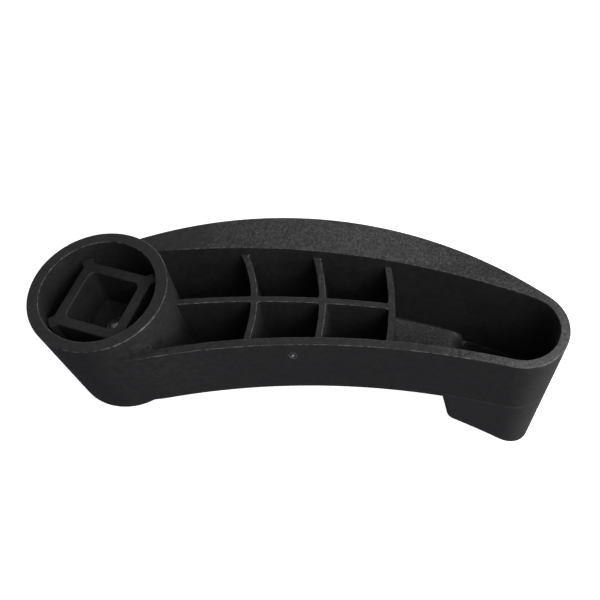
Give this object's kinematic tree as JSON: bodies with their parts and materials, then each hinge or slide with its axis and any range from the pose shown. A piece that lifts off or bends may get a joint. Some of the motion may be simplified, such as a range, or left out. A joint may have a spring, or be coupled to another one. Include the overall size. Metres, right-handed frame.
{
  "type": "winch handle",
  "caption": "Hand crank for a winch: a deep curved ribbed arm with a round hub, a square drive socket at one end and a fixed hollow grip at the other.",
  "frame": {"origin": "on the drive axis, at the closed outer face of the hub", "axes": "+Z along the drive axis out of the socket's mouth; +X from the hub to the grip; +Y towards the convex back of the arm"},
  "size_m": [0.2578, 0.0941, 0.1163],
  "materials": {
    "arm_nylon": "spark-textured black glass-filled nylon",
    "grip_nylon": "spark-textured black glass-filled nylon",
    "socket_nylon": "spark-textured black glass-filled nylon",
    "washer_steel": "plain stainless",
    "screw_steel": "plain stainless",
    "insert_brass": "turned brass"
  },
  "bodies": {
    "root": {"arm_body": "arm_nylon", "grip": "grip_nylon", "drive_socket": "socket_nylon", "socket_washer": "washer_steel", "socket_screw": "screw_steel", "threaded_insert": "insert_brass"}
  },
  "joints": []
}
